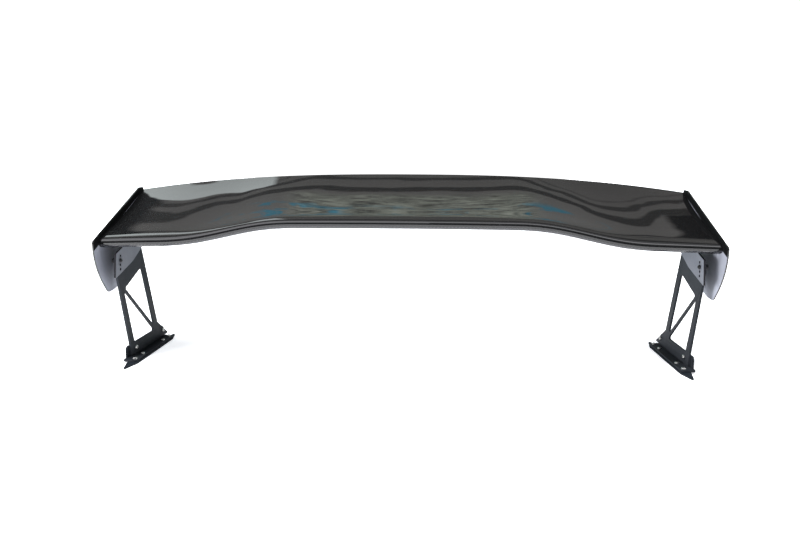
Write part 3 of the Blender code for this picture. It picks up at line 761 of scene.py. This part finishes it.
def surroundings():
    """Soft light all round for the gloss to mirror, in degrees of azimuth from the rear and of elevation.

    Bright from the left, a narrow bright strip overhead, dark low in front, and plain white where the camera
    looks straight at it.
    """
    world = bpy.data.worlds.new("studio")
    bpy.context.scene.world = world
    world.use_nodes = True
    sky = Graph(world.node_tree)
    parts = sky.split(sky.place("Generated"))
    height = sky.math("DEGREES", sky.math("ARCSINE", parts[2]))
    around = sky.math("DEGREES", sky.math("ARCTAN2", parts[0], parts[1]))
    left = sky.spread(around, *LEFT_BEYOND, smooth=True)
    colour = sky.mix_colour(left, SKY, SKY_LEFT)
    front = sky.spread(sky.math("ABSOLUTE", around), *FRONT_BEYOND, smooth=True)
    low = sky.spread(height, *FRONT_BELOW, smooth=True)
    colour = sky.mix_colour(sky.math("MULTIPLY", front, low), colour, SKY_FRONT)
    tilt = sky.math("DEGREES", sky.math("ARCTAN2", parts[1], parts[2]))
    near, far = sky.spread(tilt, *STRIP_NEAR, smooth=True), sky.spread(tilt, *STRIP_FAR, smooth=True)
    colour = sky.mix_colour(sky.math("MULTIPLY", near, far), colour, SKY_STRIP)
    eye = sky.node("ShaderNodeLightPath").outputs["Is Camera Ray"]
    colour = sky.mix_colour(eye, colour, SKY_SEEN)
    sky.set(sky.tree.nodes["Background"], "Color", colour)
    sun = bpy.data.lights.new("overhead", "SUN")
    sun.energy = SUN_POWER
    sun.angle = math.radians(SUN_ANGLE)
    made = bpy.data.objects.new("overhead", sun)
    made.visible_glossy = False
    made.rotation_euler = Vector(SUN_TOWARD).to_track_quat("-Z", "Y").to_euler()
    bpy.context.scene.collection.objects.link(made)
    fill = softbox("left_fill", FILL_AT, FILL_TOWARD, FILL_SIZE, FILL_POWER)
    fill.visible_glossy = False
    view = bpy.context.scene.view_settings
    view.view_transform = "Standard"
    view.look = "None"


BACKDROP_Y, BACKDROP_HALF, BACKDROP_TOP = 0.80, 3.6, 3.2
WALL_WAVE, MIDDLE, STREAKS_BELOW = 0.012, (0.66, 0.42), (1.25, 1.20)
ROOF_RISE, ROOF_FALL = (0.88, 1.10, 0.0, 0.12), (1.10, 1.36, 0.12, -0.05)
RAILS = ((1.240, 0.055, 0.026, 0.80), (1.345, 0.105, 0.022, 0.72), (1.430, 0.140, 0.007, 0.45))
RAIL_OUTSIDE, RAIL_INSIDE = 0.008, 0.004
DARK_LEFT, DARK_LEFT_BELOW = (-1.25, -1.29), (1.43, 1.41)
DARK_RIGHT, DARK_RIGHT_BELOW = (1.13, 1.16), (1.22, 1.20)
WALL_TONE, STREAK_TONE, TEAL_TONE = (0.45, 0.44, 0.425, 1.0), (0.60, 0.64, 0.55, 1.0), (0.12, 0.55, 0.78, 1.0)
WINDOW_FROM, WINDOW_LEDGE = (-0.68, -0.72), (0.76, 1.10, 1.345, 1.405)
WINDOW_LEDGE_SOFT, WINDOW_TOP, WINDOW_TOP_SOFT = (-0.004, 0.010), (-1.10, -1.30, 1.84, 1.70), (0.0, 0.03)
WINDOW_DIM, WINDOW_BRIGHT = (2.1, 2.3, 2.3, 1.0), (2.7, 2.9, 2.9, 1.0)
CEILING_FROM, CEILING_TONE = (2.0, 2.2), (0.10, 0.10, 0.10, 1.0)
TEAL_FINENESS, TEAL_SHARE, TEAL_BELOW = (2.4, 12.0), (0.54, 0.59), (1.15, 1.10)
STREAK_FINENESS, STREAK_SHARE, STREAK_GLOW = (7.0, 115.0), (0.40, 0.60), (0.20, 1.85)


def backdrop():
    """A lit wall close behind the wing, seen only in the gloss: streaks, dark rails and a bright window."""
    mesh = bmesh.new()
    half = BACKDROP_HALF
    corners = [(-half, 0.0), (half, 0.0), (half, BACKDROP_TOP), (-half, BACKDROP_TOP)]
    mesh.faces.new([mesh.verts.new((x, BACKDROP_Y, z)) for x, z in corners])
    wall = finish_piece("studio_backdrop", mesh, lit_wall("lit_wall"), None, None)
    wall.visible_camera = False
    wall.visible_diffuse = False
    wall.visible_shadow = False


def lit_wall(name):
    """The wall's own glow, by place: x across and z up, in metres."""
    shader = Shader(name)
    x, _, z = shader.split(shader.place())
    out = shader.math("ABSOLUTE", x)
    wavy = shader.noise(shader.node("ShaderNodeCombineXYZ", X=shader.math("MULTIPLY", x, 1.6), Z=z), 1.5, 2.0)
    rise = shader.spread(out, *ROOF_RISE, smooth=True)
    roof = shader.math("MINIMUM", rise, shader.spread(out, *ROOF_FALL, smooth=True))
    wave = shader.spread(wavy, 0.3, 0.7, -WALL_WAVE, WALL_WAVE)
    level = shader.math("ADD", shader.math("SUBTRACT", z, roof), wave)
    middle = shader.spread(out, *MIDDLE, smooth=True)
    streaked = shader.math("MULTIPLY", shader.spread(level, *STREAKS_BELOW), middle)
    glow = shader.math("ADD", shader.math("MULTIPLY", wall_streaks(shader, x, z), streaked),
                       shader.math("SUBTRACT", 1.0, streaked))
    for height, lift, half, depth in RAILS:
        centre = shader.math("ADD", shader.math("MULTIPLY", middle, lift), height)
        away = shader.math("ABSOLUTE", shader.math("SUBTRACT", level, centre))
        rail = shader.spread(away, half + RAIL_OUTSIDE, half - RAIL_INSIDE, 0.0, depth)
        glow = shader.math("MULTIPLY", glow, shader.math("SUBTRACT", 1.0, rail))
    left = shader.math("MULTIPLY", shader.spread(x, *DARK_LEFT), shader.spread(level, *DARK_LEFT_BELOW))
    right = shader.math("MULTIPLY", shader.spread(x, *DARK_RIGHT), shader.spread(level, *DARK_RIGHT_BELOW))
    glow = shader.math("MULTIPLY", glow, shader.math("SUBTRACT", 1.0, shader.math("MAXIMUM", left, right)))
    tone = shader.mix_colour(streaked, WALL_TONE, STREAK_TONE)
    tone = shader.mix_colour(teal_patches(shader, x, z), tone, TEAL_TONE)
    over_ledge = shader.math("SUBTRACT", level, shader.spread(out, *WINDOW_LEDGE))
    bright = shader.spread(over_ledge, *WINDOW_LEDGE_SOFT)
    under_top = shader.math("SUBTRACT", shader.spread(x, *WINDOW_TOP), z)
    bright = shader.math("MULTIPLY", bright, shader.spread(under_top, *WINDOW_TOP_SOFT))
    bright = shader.math("MULTIPLY", bright, shader.spread(x, *WINDOW_FROM))
    window = shader.mix_colour(wavy, WINDOW_DIM, WINDOW_BRIGHT)
    emission = shader.mix_colour(bright, scaled(shader, tone, glow), window)
    emission = shader.mix_colour(shader.spread(z, *CEILING_FROM), emission, CEILING_TONE)
    return shader.finish(Base_Color=(0.0, 0.0, 0.0, 1.0), Roughness=1.0, Specular_IOR_Level=0.0,
                         Emission_Color=emission, Emission_Strength=1.0)


def wall_streaks(shader, x, z):
    """Fine level streaks, as a factor on the wall's glow."""
    across, upward = STREAK_FINENESS
    fine = shader.node("ShaderNodeCombineXYZ", X=shader.math("MULTIPLY", x, across),
                       Z=shader.math("MULTIPLY", z, upward))
    return shader.spread(shader.noise(fine, 1.0, 5.0, 0.8), *STREAK_SHARE, *STREAK_GLOW)


def teal_patches(shader, x, z):
    """A few blue patches low on the wall."""
    across, upward = TEAL_FINENESS
    place = shader.node("ShaderNodeCombineXYZ", X=shader.math("MULTIPLY", x, across),
                        Z=shader.math("MULTIPLY", z, upward))
    patches = shader.spread(shader.noise(place, 1.6, 3.0, 0.6), *TEAL_SHARE)
    return shader.math("MULTIPLY", patches, shader.spread(z, *TEAL_BELOW))


def scaled(graph, colour, factor):
    """A colour times a factor."""
    made = graph.node("ShaderNodeVectorMath")
    made.operation = "SCALE"
    graph.set(made, "_0", colour)
    graph.set(made, "Scale", factor)
    return made.outputs[0]


# ---------------------------------------------------------------- assembly

FINISHES = {
    "carbon_top": carbon("carbon_top"),
    # The underside's lighter carbon is a painted reflection of the floor.
    "carbon_under": carbon("carbon_under", dark=UNDER_PAINTED_REFLECTION_DARK, light=UNDER_PAINTED_REFLECTION_LIGHT),
    "carbon_plate": carbon("carbon_plate", axes=(1, 2), wave=0.00015, painted_inner_reflection=PLATE_PAINTED_REFLECTION),
    "carbon_inside": laminate("carbon_inside"),
    "black_metal": anodised("black_metal"),
    "fin_metal": polished_fin("fin_metal"),
    "steel": zinc("steel"),
    "black_steel": black_oxide("black_steel"),
    "rubber": rubber("rubber"),
    "bronze": bronze("bronze"),
}


def dress_nodes():
    """Every CAD node that stays gets the finished material of its slot."""
    for part in frame["record"]["subparts"]:
        node = frame["nodes"][part["node"]]
        node.data.materials.clear()
        node.data.materials.append(FINISHES[part["material_slot"]])


camera()
dress_nodes()
airfoil()
end_plates()
fasteners()
ground()
backdrop()
surroundings()
